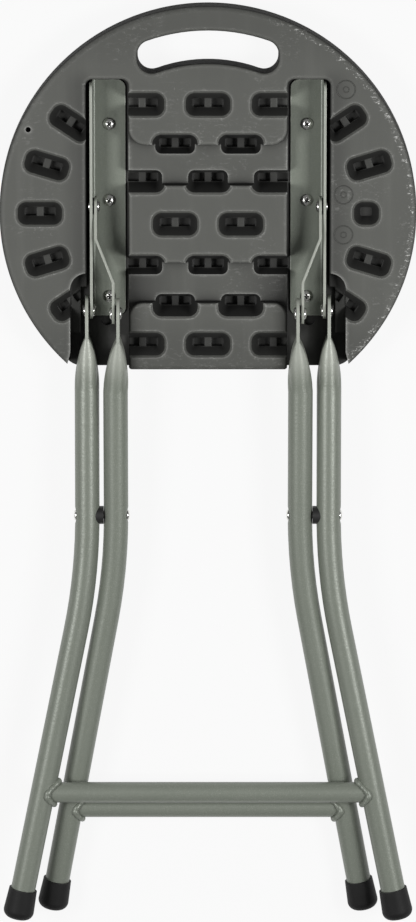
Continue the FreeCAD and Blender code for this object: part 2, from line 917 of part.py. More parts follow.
def leg_form(name, leg):
    """A leg as a solid, in its own frame with the top pivot at the origin and the foot towards -Y."""
    body = new_body(name)
    half = size("blade_width") / 2
    thin = size("blade_thickness") / 2
    flat = size("blade_flat")
    blade = new_sketch(body, "YZ_Plane", name + "_blade", leg.blade - thin)
    outline(blade, [
        (-flat, -half),
        (0.0, -half, (0.0, 0.0, 1)),
        (0.0, half),
        (-flat, half),
    ])
    pad(body, blade, name + "_flat", size("blade_thickness"))
    first = new_sketch(body, "XZ_Plane", name + "_ogive_first", flat)
    outline(first, [
        (leg.blade - thin, -half),
        (leg.blade + thin, -half),
        (leg.blade + thin, half),
        (leg.blade - thin, half),
    ])
    share = size("ogive_middle") / size("ogive_length")
    middle_across = leg.blade + (leg.tube - leg.blade) * share
    middle = new_sketch(body, "XZ_Plane", name + "_ogive_middle", flat + size("ogive_middle"))
    round_half = size("ogive_middle_thickness") / 2
    straight = size("ogive_middle_width") / 2 - round_half
    outline(middle, [
        (middle_across - round_half, -straight, (middle_across, -straight, 1)),
        (middle_across + round_half, -straight),
        (middle_across + round_half, straight, (middle_across, straight, 1)),
        (middle_across - round_half, straight),
    ])
    last = new_sketch(body, "XZ_Plane", name + "_ogive_last", flat + size("ogive_length"))
    quartered_circle(last, leg.tube, size("tube_radius"))
    loft = body.newObject("PartDesign::AdditiveLoft", name + "_ogive")
    loft.Profile = first
    loft.Sections = [middle, last]
    doc.recompute()
    tube_sweep(body, name + "_tube", leg, flat + size("ogive_length"), size("tube_radius"))
    return body


def leg_bore(name, leg):
    body = new_body(name)
    start = size("blade_flat") + size("ogive_length")
    tube_sweep(body, name + "_bore", leg, start, size("tube_radius") - size("tube_wall"))
    return body


def lean(item, leg):
    """Set a leg-frame piece on its pivot, leaning up or down from the seat by the slope."""
    axis = Vector(1, 0, 0) if leg.downward else Vector(-1, 0, 0)
    place(item, 0.0, leg.pivot[0], leg.pivot[1], axis, leg.slope)


def dimple(name, face, outward, pivot):
    """A pressed dimple for a rivet head: flat floor and flared wall, opening outward."""
    cone = doc.addObject("Part::Cone", name)
    bind(cone, "Radius1", size("dimple_floor_radius"))
    bind(cone, "Radius2", size("dimple_mouth_radius"))
    bind(cone, "Height", size("dimple_mouth_height"))
    place(cone, face, pivot[0], pivot[1], Vector(0, 1, 0), 90.0 * outward)
    return cone


def leg_pair(node, leg, dimple_side):
    """Both legs of one frame, hollow, with pivot holes; returns the solid right-hand form."""
    form = leg_form(node + "_form", leg)
    lean(form, leg)
    bore = leg_bore(node + "_inside", leg)
    lean(bore, leg)
    top_hole = cylinder(node + "_top_hole", hole_radius, size("blade_thickness") + 2 * OVERRUN)
    along_x(top_hole, leg.blade - size("blade_thickness") / 2 - OVERRUN, *leg.pivot)
    reach = size("tube_radius") + OVERRUN
    cross_hole = cylinder(node + "_cross_hole", hole_radius, reach * 2)
    along_x(cross_hole, leg.tube - reach, *pivot_m)
    floor = leg.tube + (size("tube_radius") - size("dimple_depth")) * dimple_side
    press = dimple(node + "_dimple", floor, dimple_side, pivot_m)
    tools = fused(node + "_tools", [bore, top_hole, cross_hole, press])
    keep_pair(node, cut("Right_" + node, form, tools))
    return form


def rail(node, form, leg, drop):
    """A cross rail between the two legs of a frame, coped to their tubes."""
    reach = across_at(leg, drop)
    up = leg.pivot[0] - drop * cosine(leg.slope)
    height = leg.pivot[1] + drop * sine(leg.slope) * (-1.0 if leg.downward else 1.0)
    solid = cylinder(node + "_solid", size("rail_radius"), reach * 2)
    along_x(solid, -reach, up, height)
    inside = cylinder(node + "_inside", size("rail_radius") - size("rail_wall"), reach * 2)
    along_x(inside, -reach, up, height)
    tools = fused(node + "_cope", [form, mirrored(node + "_left_form", form), inside])
    keep(node, cut("Coped_" + node, solid, tools))


def foot(node, leg):
    """A flared cap with a domed sole, pushed over the tube's lower end."""
    bore = size("tube_radius") + size("running_clearance")
    sole = size("foot_sole") - size("foot_dome")
    depth = size("foot_length") - size("foot_sole")
    base = size("foot_base_radius")
    dome = size("foot_dome")
    body = new_body("Right_" + node)
    sketch = new_sketch(body, "XY_Plane", node + "_section")
    outline(sketch, [
        (0.0, 0.0),
        (bore, 0.0),
        (bore, depth),
        (size("foot_rim_radius"), depth),
        (base, -sole, (base - dome, -sole, -1)),
        (base - dome, -sole - dome),
        (0.0, -sole - dome),
    ])
    feature = body.newObject("PartDesign::Revolution", node + "_turn")
    feature.Profile = sketch
    feature.ReferenceAxis = (sketch, ["V_Axis"])
    feature.Angle = 360.0
    doc.recompute()
    turn = Rotation(Vector(1, 0, 0), leg.slope.number * (1.0 if leg.downward else -1.0))
    swing = Rotation(Vector(0, 0, 1), leg.splay.number)
    drop = size("leg_drop")
    spot = turn.multVec(Vector(across_at(leg, drop).number, -drop.number, 0))
    base_spot = Vector(spot.x, spot.y + leg.pivot[0].number, spot.z + leg.pivot[1].number)
    body.Placement = Placement(base_spot, turn.multiply(swing))
    keep_pair(node, body)


def cross_spacer():
    """A black bush between the crossing tubes, saddled on the outer one."""
    inside = size("inner_tube_across") + size("tube_radius") + size("side_clearance")
    length = size("outer_tube_across") - inside
    solid = cylinder("SpacerSolid", size("spacer_radius"), length)
    along_x(solid, inside, pivot_m[0], pivot_m[1])
    hole = cylinder("SpacerHole", hole_radius, length + 2 * OVERRUN)
    along_x(hole, inside - OVERRUN, pivot_m[0], pivot_m[1])
    saddle = leg_form("SpacerSaddle", outer_frame)
    lean(saddle, outer_frame)
    keep_pair("cross_spacer", cut("RightSpacer", solid, fused("SpacerTools", [hole, saddle])))


def strut():
    """A joggled flat bar from the bracket flange to the inner leg's top, with rounded ends."""
    body = new_body("Strut")
    end = size("strut_width") / 2
    upper = size("strut_upper_run")
    joggle = size("strut_joggle_run")
    top = new_sketch(body, "XY_Plane", "StrutSection", -end)
    outline(top, [
        (strut_upper_inside, end),
        (strut_upper_inside, -upper),
        (strut_lower_inside, -upper - joggle),
        (strut_lower_inside, -strut_reach - end),
        (strut_lower_outside, -strut_reach - end),
        (strut_lower_outside, -upper - joggle),
        (strut_upper_outside, -upper),
        (strut_upper_outside, end),
    ])
    pad(body, top, "StrutBar", size("strut_width"))

    def is_end_corner(edge):
        box = edge.BoundBox
        return box.YLength < 1e-3 and box.ZLength < 1e-3 and abs(abs(box.ZMax) - end.number) < 1e-3 and (
            abs(box.YMax - end.number) < 1e-3 or abs(box.YMax + strut_reach + end.number) < 1e-3
        )

    fillet(body, "StrutEnds", end - size("running_clearance"), is_end_corner)
    place(body, 0.0, pivot_b[0], pivot_b[1], Vector(-1, 0, 0), strut_lift)
    upper_hole = cylinder("StrutUpperHole", hole_radius, size("strut_thickness") + 2 * OVERRUN)
    along_x(upper_hole, strut_upper_inside - OVERRUN, *pivot_b)
    lower_hole = cylinder("StrutLowerHole", hole_radius, size("strut_thickness") + 2 * OVERRUN)
    along_x(lower_hole, strut_lower_inside - OVERRUN, *pivot_c)
    keep_pair("strut", cut("RightStrut", body, fused("StrutHoles", [upper_hole, lower_hole])))


def rivets_and_washers():
    gap = size("side_clearance")
    head = size("rivet_head_radius")
    rivet("leg_rivet", pivot_a, flange_inside, outer_blade_outside + gap, head)
    washer("leg_washer", pivot_a, flange_outside)
    rivet("strut_rivet", pivot_b, strut_upper_inside - gap, flange_outside, head)
    washer("strut_washer", pivot_b, flange_inside - size("washer_thickness"))
    top_end = inner_blade_outside + size("washer_thickness")
    rivet("top_rivet", pivot_c, inner_blade_inside, top_end, head, True, False)
    washer("top_washer", pivot_c, inner_blade_outside)
    rivet("strut_stud", pivot_c, strut_lower_inside, strut_lower_outside, head, False, True)
    floor = size("tube_radius") - size("dimple_depth")
    inside = size("inner_tube_across") - floor - gap
    outside = size("outer_tube_across") + floor
    rivet("cross_rivet", pivot_m, inside, outside, size("cross_head_radius"))


def leg_frames():
    """The outer and inner frames: two legs, a rail and two feet each."""
    outer = leg_pair("outer_leg", outer_frame, 1.0)
    inner = leg_pair("inner_leg", inner_frame, -1.0)
    rail("outer_rail", outer, outer_frame, size("leg_drop") - size("outer_rail_rise"))
    rail("inner_rail", inner, inner_frame, size("leg_drop") - size("inner_rail_rise"))
    foot("outer_foot", outer_frame)
    foot("inner_foot", inner_frame)


def check():
    """Stop if any object failed or any piece is not a valid solid."""
    doc.recompute()
    for item in doc.Objects:
        if "Invalid" in item.State or "Error" in item.State:
            raise RuntimeError("%s failed: %s" % (item.Name, item.State))
    for node, item in pieces.items():
        if item.Shape.isNull() or not item.Shape.isValid() or not item.Shape.Solids:
            raise RuntimeError("%s has no valid solid" % node)


def report_linkage():
    """Print the pivots and the travel of each joint from folded to open."""
    span = pivot_b[0].number - pivot_a[0].number + strut_reach
    open_angle = math.degrees(math.acos(span / 2 / size("cross_distance").number))
    outer_turn = 180.0 - size("outer_slope_angle").number - open_angle
    inner_turn = 180.0 + size("inner_slope_angle").number - (180.0 - open_angle)
    for name, (up, height) in (("A", pivot_a), ("B", pivot_b), ("M", pivot_m), ("C", pivot_c)):
        print("pivot %s y %.4f z %.4f" % (name, up.number, height.number))
    print("outer %.4f cross %.4f strut %.4f" % (outer_turn, outer_turn - inner_turn, 180.0 - strut_lift))


seat_shell()
bracket()
bracket_screws()
leg_frames()
strut()
rivets_and_washers()
cross_spacer()
check()
report_linkage()
os.makedirs("parts", exist_ok=True)
for node, item in pieces.items():
    item.Shape.exportStep("parts/%s.step" % node)
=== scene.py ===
"""Looks of the folding stool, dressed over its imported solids. Metres, in the solids' frame."""
import math

import bmesh
import bpy
from mathutils import Matrix, Vector
from mathutils.bvhtree import BVHTree


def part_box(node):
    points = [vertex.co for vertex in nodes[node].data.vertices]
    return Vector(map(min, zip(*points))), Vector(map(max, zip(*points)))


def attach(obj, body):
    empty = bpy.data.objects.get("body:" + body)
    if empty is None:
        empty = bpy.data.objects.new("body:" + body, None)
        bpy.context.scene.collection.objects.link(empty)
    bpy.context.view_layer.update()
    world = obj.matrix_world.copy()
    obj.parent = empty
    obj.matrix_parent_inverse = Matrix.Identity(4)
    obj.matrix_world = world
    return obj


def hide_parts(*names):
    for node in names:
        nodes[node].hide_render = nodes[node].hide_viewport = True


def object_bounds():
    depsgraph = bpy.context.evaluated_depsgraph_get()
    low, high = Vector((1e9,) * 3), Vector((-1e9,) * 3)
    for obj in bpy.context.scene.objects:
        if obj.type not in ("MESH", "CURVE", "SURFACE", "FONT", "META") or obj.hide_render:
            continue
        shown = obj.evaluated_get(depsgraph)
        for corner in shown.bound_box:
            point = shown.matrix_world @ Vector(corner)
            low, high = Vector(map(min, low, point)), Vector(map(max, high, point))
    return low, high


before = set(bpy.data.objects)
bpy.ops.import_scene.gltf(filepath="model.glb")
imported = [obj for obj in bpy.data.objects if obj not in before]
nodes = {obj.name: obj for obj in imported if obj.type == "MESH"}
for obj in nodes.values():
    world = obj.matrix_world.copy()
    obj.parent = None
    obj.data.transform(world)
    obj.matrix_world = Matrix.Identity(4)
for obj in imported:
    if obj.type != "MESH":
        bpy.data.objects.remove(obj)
cad_box = [list(corner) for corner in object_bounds()]

SIDES = ("left", "right")
ACROSS = Vector((1, 0, 0))
UPRIGHT = Vector((0, 0, 1))
FULL_TURN = 2 * math.pi
SEAT_RADIUS = cad_box[1][0]  # the seat is the widest piece
WHITE = (1.0, 1.0, 1.0)


# Materials. Tones are linear red, green and blue. A span runs from no effect to full effect.
class Graph:
    """A material's node tree, with short calls to add and link nodes."""

    BEVEL_SAMPLES = 6
    SHELTER_SAMPLES = 8

    def __init__(self, name):
        self.material = bpy.data.materials.new(name)
        self.material.use_nodes = True
        self.tree = self.material.node_tree
        self.shader = self.tree.nodes["Principled BSDF"]
        coordinates = self.add("ShaderNodeTexCoord").outputs
        self.place = coordinates["Object"]
        self.facing = coordinates["Normal"]

    def add(self, kind, links=None, **settings):
        node = self.tree.nodes.new(kind)
        for key, value in settings.items():
            setattr(node, key, value)
        for key, value in (links or {}).items():
            self.feed(node.inputs[key], value)
        return node

    def feed(self, socket, value):
        """Link a socket to another one, or set its value; a tone gets full alpha."""
        if isinstance(value, bpy.types.NodeSocket):
            self.tree.links.new(value, socket)
        elif socket.type == "RGBA":
            socket.default_value = (*value, 1.0)
        else:
            socket.default_value = value

    def shade(self, **values):
        for key, value in values.items():
            self.feed(self.shader.inputs[key.replace("_", " ")], value)

    def math(self, operation, first, second=0.0, clamp=False):
        return self.add(
            "ShaderNodeMath", {0: first, 1: second}, operation=operation, use_clamp=clamp
        ).outputs[0]

    def times(self, first, *others):
        for other in others:
            first = self.math("MULTIPLY", first, other)
        return first

    def most(self, first, *others):
        for other in others:
            first = self.math("MAXIMUM", first, other)
        return first

    def ramp(self, start, rise, value):
        """The start, plus the rise where the value is 1."""
        return self.math("ADD", start, self.times(value, rise), clamp=True)

    def split(self, vector):
        return self.add("ShaderNodeSeparateXYZ", {0: vector}).outputs[:3]

    def noise(self, scale, detail=3.0, roughness=0.5, place=None, distortion=0.0):
        links = {
            "Vector": place or self.place, "Scale": scale, "Detail": detail,
            "Roughness": roughness, "Distortion": distortion,
        }
        return self.add("ShaderNodeTexNoise", links).outputs[0]

    def stretched(self, scale, turn=(0.0, 0.0, 0.0)):
        links = {"Vector": self.place, "Scale": scale, "Rotation": turn}
        return self.add("ShaderNodeMapping", links).outputs[0]

    def step(self, value, span):
        """0 at the span's start, 1 at its end, smooth between them."""
        links = {
            "Value": value, "From Min": span[0], "From Max": span[1], "To Min": 0.0, "To Max": 1.0,
        }
        return self.add("ShaderNodeMapRange", links, interpolation_type="SMOOTHSTEP").outputs[0]

    def mix(self, factor, first, second):
        node = self.add("ShaderNodeMix", data_type="RGBA")
        self.feed(node.inputs["Factor"], factor)
        self.feed(node.inputs[6], first)
        self.feed(node.inputs[7], second)
        return node.outputs[2]

    def shelter(self, reach):
        """1 on open faces, lower in hollows as deep as the reach."""
        links = {"Distance": reach}
        settings = {"samples": self.SHELTER_SAMPLES}
        return self.add("ShaderNodeAmbientOcclusion", links, **settings).outputs["AO"]

    def rounded(self, radius):
        """The normal with edges rounded off."""
        return self.add("ShaderNodeBevel", {"Radius": radius}, samples=self.BEVEL_SAMPLES).outputs[0]

    def edge(self, radius):
        """Near 1 on convex and concave edges, 0 on flat faces."""
        true = self.add("ShaderNodeNewGeometry").outputs["Normal"]
        links = {0: self.rounded(radius), 1: true}
        dot = self.add("ShaderNodeVectorMath", links, operation="DOT_PRODUCT")
        return self.math("SUBTRACT", 1.0, dot.outputs["Value"], clamp=True)

    def bump(self, height, depth, strength, radius):
        """A relief, over edges rounded off by the radius."""
        links = {
            "Height": height, "Distance": depth, "Strength": strength, "Normal": self.rounded(radius),
        }
        self.feed(self.shader.inputs["Normal"], self.add("ShaderNodeBump", links).outputs[0])


SEAT_TONES = {
    "deep": (0.083, 0.085, 0.077),
    "light": (0.104, 0.106, 0.096),
    "streaks": (0.150, 0.152, 0.139),
    "grain": (0.150, 0.152, 0.140),
    "ends": (0.050, 0.051, 0.046),
    # Painted shade on the sunk bands and beside the bracket flanges.
    "bracket_shade": (0.030, 0.030, 0.028),
    # Painted highlights along the edges.
    "brow_highlight": (0.220, 0.222, 0.208),
    "crest_highlight": (0.330, 0.332, 0.315),
    # Painted shade in hollows, along concave edges and on steep faces.
    "hollow": (0.021, 0.021, 0.019),
    "crease_shade": (0.012, 0.012, 0.011),
    "wall_shade": (0.014, 0.014, 0.013),
    "chalk": (0.60, 0.60, 0.58),
}
SEAT_SPANS = {
    "streaks": (0.50, 0.75),
    "grain": (0.62, 0.80),
    "leg_end": (-0.075, -0.108),
    "slot_end": (0.10, 0.14),
    "band_below": (0.028, 0.024),
    "band_above": (0.017, 0.021),
    "band_leg_end": (-0.005, -0.035),
    "band_ends": (0.018, 0.060),
    "band_stop": (0.0625, 0.0610),
    "flange_outside": (0.114, 0.096),
    "flange_inside": (0.088, 0.093),
    "flange_below_top": (0.116, 0.098),
    # Spans of the painted highlight and painted shade masks.
    "crest_highlight": (0.01, 0.14),
    "crest_open": (0.55, 0.90),
    "brow_highlight": (0.004, 0.10),
    "brow_open": (0.70, 0.92),
    "hollow": (0.36, 1.0),
    "crease_shade": (0.01, 0.12),
    "crease_shut": (0.8, 0.5),
    "steep": (0.85, 0.35),
    "rim_inside": (SEAT_RADIUS - 0.0072, SEAT_RADIUS - 0.0044),
    "rim_outside": (SEAT_RADIUS - 0.0008, SEAT_RADIUS - 0.0025),
    "worn_right": (0.03, 0.09),
    "worn_leg_end": (-0.085, -0.125),
    "worn_open": (0.60, 0.92),
    "patches": (0.52, 0.66),
    "scratches": (0.55, 0.65),
    "specks": (0.62, 0.70),
    "sitting_face": (-0.5, -0.95),
}
SEAT_AMOUNTS = {
    "streaks": 0.25,
    "slot_end": 0.7,
    "ends": 0.45,
    # Painted shade on the sunk bands and beside the bracket flanges.
    "band_shade": 0.75,
    "flange_shade": 0.5,
    # Strengths of the painted highlights and painted shade.
    "brow_highlight": 0.5,
    "crest_highlight": 0.9,
    "crease_shade": 0.6,
    "wall_shade": 0.8,
    "worn_leg_end": 0.12,
    "worn_edges": 0.5,
    "patches": 0.13,
    "chalk": 0.9,
    "cloud_relief": 3.0,
    "leather_relief": 5.0,
}
SEAT_SHELTER_REACH = 0.032
SEAT_CREST_RADIUS = 0.0024
SEAT_BROW_RADIUS = 0.0055
SCRATCH_TURN = 0.7


def seat_tone(g, cloud, grain):
    """Cloudy charcoal with faint streaks, darker toward both ends, with painted shade on the sunk bands
    and beside the bracket flanges.
    """
    tones, spans, amounts = SEAT_TONES, SEAT_SPANS, SEAT_AMOUNTS
    x, y, z = g.split(g.place)
    across = g.math("ABSOLUTE", x)
    streaks = g.noise(60.0, 4.0, 0.6, g.stretched((1.0, 0.08, 1.0)))
    streaks = g.times(g.step(streaks, spans["streaks"]), amounts["streaks"])
    slot_end = g.times(g.step(y, spans["slot_end"]), amounts["slot_end"])
    ends = g.times(g.most(g.step(y, spans["leg_end"]), slot_end), amounts["ends"])
    # Painted shade: the sunk bands between the brackets and the strip outside each bracket flange are
    # darkened.
    band = g.times(
        g.step(z, spans["band_below"]), g.step(z, spans["band_above"]), g.step(y, spans["band_leg_end"]),
        g.step(across, spans["band_ends"]), g.step(across, spans["band_stop"]), amounts["band_shade"],
    )
    flange = g.times(
        g.step(across, spans["flange_outside"]), g.step(across, spans["flange_inside"]),
        g.step(y, spans["flange_below_top"]), amounts["flange_shade"],
    )
    base = g.mix(cloud, tones["deep"], tones["light"])
    base = g.mix(streaks, base, tones["streaks"])
    base = g.mix(g.step(grain, spans["grain"]), base, tones["grain"])
    base = g.mix(ends, base, tones["ends"])
    # Mix in that painted shade.
    return g.mix(g.most(band, flange), base, tones["bracket_shade"])


def seat_scuffs(g, edges, shelter):
    """How chalky the seat is: scratches and specks on its right rim, its leg end and its edges."""
    spans, amounts = SEAT_SPANS, SEAT_AMOUNTS
    x, y, _ = g.split(g.place)
    flat = g.add("ShaderNodeCombineXYZ", {0: x, 1: y}).outputs[0]
    radius = g.add("ShaderNodeVectorMath", {0: flat}, operation="LENGTH").outputs["Value"]
    rim = g.times(
        g.step(radius, spans["rim_inside"]), g.step(radius, spans["rim_outside"]),
        g.step(x, spans["worn_right"]),
    )
    leg_end = g.times(g.step(y, spans["worn_leg_end"]), amounts["worn_leg_end"])
    patches = g.times(g.step(g.noise(20.0, 2.0), spans["patches"]), amounts["patches"])
    worn = g.most(rim, leg_end, g.times(edges, amounts["worn_edges"]), patches)
    slanted = g.stretched((1.0, 2.6, 1.0), (0.0, 0.0, SCRATCH_TURN))
    scratches = g.step(g.noise(150.0, 6.0, 0.72, slanted, 0.8), spans["scratches"])
    specks = g.step(g.noise(420.0, 3.0, 0.6), spans["specks"])
    open_faces = g.step(shelter, spans["worn_open"])
    return g.times(g.most(scratches, specks), worn, open_faces, amounts["chalk"])


def seat_plastic():
    """Charcoal blow-moulded plastic: fine grain, painted shade in its hollows, concave edges and steep
    faces, painted highlights on its edges, and scuffs.
    """
    tones, spans, amounts = SEAT_TONES, SEAT_SPANS, SEAT_AMOUNTS
    g = Graph("charcoal_plastic")
    cloud = g.noise(24.0, 4.0, 0.6)
    grain = g.noise(1500.0, 2.0)
    upward = g.split(g.facing)[2]
    steep = g.step(g.math("ABSOLUTE", upward), spans["steep"])
    shelter = g.shelter(SEAT_SHELTER_REACH)
    sharp = g.edge(SEAT_CREST_RADIUS)
    soft = g.edge(SEAT_BROW_RADIUS)
    # Painted highlight masks on sharp and on rounded convex edges; they also place the chalky edge wear.
    crest_highlight = g.times(g.step(sharp, spans["crest_highlight"]), g.step(shelter, spans["crest_open"]))
    brow_highlight = g.times(g.step(soft, spans["brow_highlight"]), g.step(shelter, spans["brow_open"]))
    # Painted shade mask along concave edges.
    crease_shade = g.times(g.step(sharp, spans["crease_shade"]), g.step(shelter, spans["crease_shut"]))

    base = seat_tone(g, cloud, grain)
    # Painted highlights along the edges.
    base = g.mix(g.times(brow_highlight, amounts["brow_highlight"]), base, tones["brow_highlight"])
    base = g.mix(g.times(crest_highlight, amounts["crest_highlight"]), base, tones["crest_highlight"])
    # Painted shade in the hollows.
    base = g.mix(g.step(shelter, spans["hollow"]), tones["hollow"], base)
    # Painted shade along concave edges.
    base = g.mix(g.times(crease_shade, amounts["crease_shade"]), base, tones["crease_shade"])
    # Painted shade on steep faces, the rim's sides among them.
    base = g.mix(g.times(steep, amounts["wall_shade"]), base, tones["wall_shade"])
    base = g.mix(seat_scuffs(g, g.most(crest_highlight, brow_highlight), shelter), base, tones["chalk"])
    g.shade(Base_Color=base, Specular_IOR_Level=0.42)
    g.shade(Roughness=g.ramp(g.ramp(0.46, 0.36, steep), 0.22, cloud))

    links = {"Vector": g.place, "Scale": 420.0, "Smoothness": 0.3}
    pebbles = g.add("ShaderNodeTexVoronoi", links, feature="SMOOTH_F1").outputs["Distance"]
    leather = g.times(pebbles, g.step(upward, spans["sitting_face"]), amounts["leather_relief"])
    swell = g.times(cloud, amounts["cloud_relief"])
    relief = g.math("ADD", grain, g.math("ADD", swell, leather))
    g.bump(relief, depth=0.00006, strength=0.8, radius=0.0014)
    return g.material


def mark_shade_plastic():
    """The seat's plastic in a darker tone, for the plain rings: painted shade standing in for the shaded
    grooves of moulded marks.
    """
    g = Graph("mark_shade_plastic")
    cloud = g.noise(300.0, 3.0)
    g.shade(Base_Color=g.mix(cloud, (0.052, 0.053, 0.048), (0.072, 0.073, 0.066)), Roughness=0.6)
    return g.material


def grey_paint():
    """Grey-green powder coat: fine orange peel, faint metal flake, edges worn pale, which also paints
    highlights on them.
    """
    tones = {
        "deep": (0.187, 0.207, 0.172),
        "light": (0.222, 0.242, 0.205),
        "flake": (0.340, 0.356, 0.314),
        # Pale worn paint, which also stands in as painted highlight.
        "worn_and_highlight": (0.56, 0.58, 0.52),
    }
    spans = {
        "flake": (0.55, 0.75),
        "edge": (0.03, 0.2),
        "edge_patches": (0.26, 0.5),
        "proud_height": (0.0300, 0.0318),
        "proud_seat_end": (-0.135, -0.105),
    }
    edge_amount = 0.75
    proud_amount = 0.55
    g = Graph("grey_powder_coat")
    _, y, z = g.split(g.place)
    peel = g.noise(620.0, 2.0)
    flake = g.step(g.noise(2600.0, 1.0), spans["flake"])
    # Worn paint and painted highlight: sharp edges, in patches, and the proud blade ends near the seat's
    # leg end are lightened.
    edge = g.times(
        g.step(g.edge(0.0012), spans["edge"]), g.step(g.noise(90.0), spans["edge_patches"]), edge_amount
    )
    proud = g.times(g.step(z, spans["proud_height"]), g.step(y, spans["proud_seat_end"]), proud_amount)
    base = g.mix(g.noise(14.0), tones["deep"], tones["light"])
    base = g.mix(flake, base, tones["flake"])
    # Mix in the pale wear and painted highlight.
    base = g.mix(g.most(edge, proud), base, tones["worn_and_highlight"])
    g.shade(Base_Color=base, Metallic=0.14, Roughness=g.ramp(0.30, 0.14, peel))
    g.bump(peel, depth=0.00015, strength=0.8, radius=0.0006)
    return g.material


def zinc():
    """Bright zinc plate, brushed by handling, with painted shade in its recesses."""
    open_span = (0.3, 0.95)
    g = Graph("bright_zinc")
    brushed = g.noise(260.0, 4.0, 0.6, g.stretched((1.0, 7.0, 7.0)))
    base = g.mix(brushed, (0.74, 0.74, 0.71), (0.93, 0.93, 0.90))
    # Painted shade in the cross recess and other sheltered spots.
    base = g.mix(g.step(g.shelter(0.0025), open_span), (0.05, 0.05, 0.048), base)
    g.shade(Base_Color=base, Metallic=1.0, Roughness=g.ramp(0.17, 0.12, brushed))
    g.bump(brushed, depth=0.00003, strength=0.6, radius=0.0003)
    return g.material


def black_plastic():
    """Black moulded plastic of the spacers and washers."""
    g = Graph("black_plastic")
    grain = g.noise(900.0)
    base = g.mix(g.noise(60.0, 2.0), (0.010, 0.010, 0.010), (0.020, 0.020, 0.020))
    g.shade(Base_Color=base, Roughness=g.ramp(0.36, 0.2, grain))
    g.bump(grain, depth=0.00004, strength=0.7, radius=0.0005)
    return g.material


def foot_rubber():
    """Black rubber of the feet, dusty on its edges."""
    edge_span = (0.03, 0.2)
    dust_span = (0.45, 0.65)
    dust_amount = 0.35
    g = Graph("foot_rubber")
    grain = g.noise(1100.0)
    cloud = g.noise(70.0, 4.0)
    dust = g.times(g.step(g.edge(0.0015), edge_span), g.step(cloud, dust_span), dust_amount)
    base = g.mix(cloud, (0.005, 0.005, 0.005), (0.011, 0.011, 0.011))
    base = g.mix(dust, base, (0.12, 0.12, 0.115))
    g.shade(Base_Color=base, Specular_IOR_Level=0.3, Roughness=g.ramp(0.5, 0.25, grain))
    g.bump(grain, depth=0.00008, strength=0.8, radius=0.0008)
    return g.material


FINISHES = {
    "seat_plastic": seat_plastic(),
    "mark_shade_plastic": mark_shade_plastic(),
    "grey_paint": grey_paint(),
    "zinc": zinc(),
    "black_plastic": black_plastic(),
    "foot_rubber": foot_rubber(),
}
NODE_FINISH = {
    "seat_shell": "seat_plastic",
    "bracket": "grey_paint",
    "outer_leg": "grey_paint",
    "inner_leg": "grey_paint",
    "outer_rail": "grey_paint",
    "inner_rail": "grey_paint",
    "strut": "grey_paint",
    "cross_spacer": "black_plastic",
    "leg_washer": "black_plastic",
    "strut_washer": "black_plastic",
    "top_washer": "black_plastic",
    "outer_foot": "foot_rubber",
    "inner_foot": "foot_rubber",
}


def dress_nodes():
    """Give each node its finish; the fasteners that the table leaves out are zinc."""
    for name, node in nodes.items():
        kind = name.split("_", 1)[1] if name.startswith(SIDES) else name
        finish = FINISHES[NODE_FINISH.get(kind, "zinc")]
        for slot in node.material_slots:
            slot.material = finish
        if not node.material_slots:
            node.data.materials.append(finish)


# Added pieces.
def add_piece(name, form, body, slot, finish=None):
    mesh = bpy.data.meshes.new(name)
    form.to_mesh(mesh)
    form.free()
    for face in mesh.polygons:
        face.use_smooth = True
    piece = bpy.data.objects.new(name, mesh)
    bpy.context.scene.collection.objects.link(piece)
    mesh.materials.append(FINISHES[finish or slot])
    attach(piece, body)
    return piece


def node_tree(name):
    """A node's surface, to cast rays at."""
    return BVHTree.FromObject(nodes[name], bpy.context.evaluated_depsgraph_get())


def loop_tube(form, centres, radii, upright, around):
    """A closed tube along a ring of points, with a radius at each; upright is off the ring's plane."""
    count = len(centres)
    rings = []
    for index, centre in enumerate(centres):
        ahead = (centres[(index + 1) % count] - centres[index - 1]).normalized()
        side = ahead.cross(upright).normalized()
        out = side.cross(ahead)
        ring = []
        for turn in range(around):
            angle = FULL_TURN * turn / around
            offset = side * math.cos(angle) + out * math.sin(angle)
            ring.append(form.verts.new(centre + offset * radii[index]))
        rings.append(ring)
    for index in range(count):
        here, there = rings[index], rings[(index + 1) % count]
        for turn in range(around):
            after = (turn + 1) % around
            form.faces.new((here[turn], there[turn], there[after], here[after]))


def turned_form(profile, count=40):
    """A solid of revolution about Z from (radius, height) pairs, closed on the axis."""
    form = bmesh.new()
    rings = []
    for radius, height in profile:
        ring = []
        for turn in range(count if radius else 1):
            angle = FULL_TURN * turn / count
            spot = (radius * math.cos(angle), radius * math.sin(angle), height)
            ring.append(form.verts.new(spot))
        rings.append(ring)
    for low, high in zip(rings, rings[1:]):
        for turn in range(count):
            after = (turn + 1) % count
            corners = (
                low[turn % len(low)], low[after % len(low)],
                high[after % len(high)], high[turn % len(high)],
            )
            form.faces.new(tuple(dict.fromkeys(corners)))
    bmesh.ops.recalc_face_normals(form, faces=form.faces)
    return form


def cross_cutter(arm, width, depth, top):
    """A driver's tip: two crossed blades that narrow downward."""
    tip_arm = 0.45
    tip_width = 0.7
    clearance = 0.001
    form = bmesh.new()
    for turn in (0.0, FULL_TURN / 4):
        made = bmesh.ops.create_cube(form, size=1.0)["verts"]
        for vert in made:
            low = vert.co.z < 0
            vert.co.x *= 2 * arm * (tip_arm if low else 1.0)
            vert.co.y *= width * (tip_width if low else 1.0)
            vert.co.z = top - depth if low else top + clearance
        bmesh.ops.rotate(form, verts=made, matrix=Matrix.Rotation(turn, 3, "Z"))
    return form


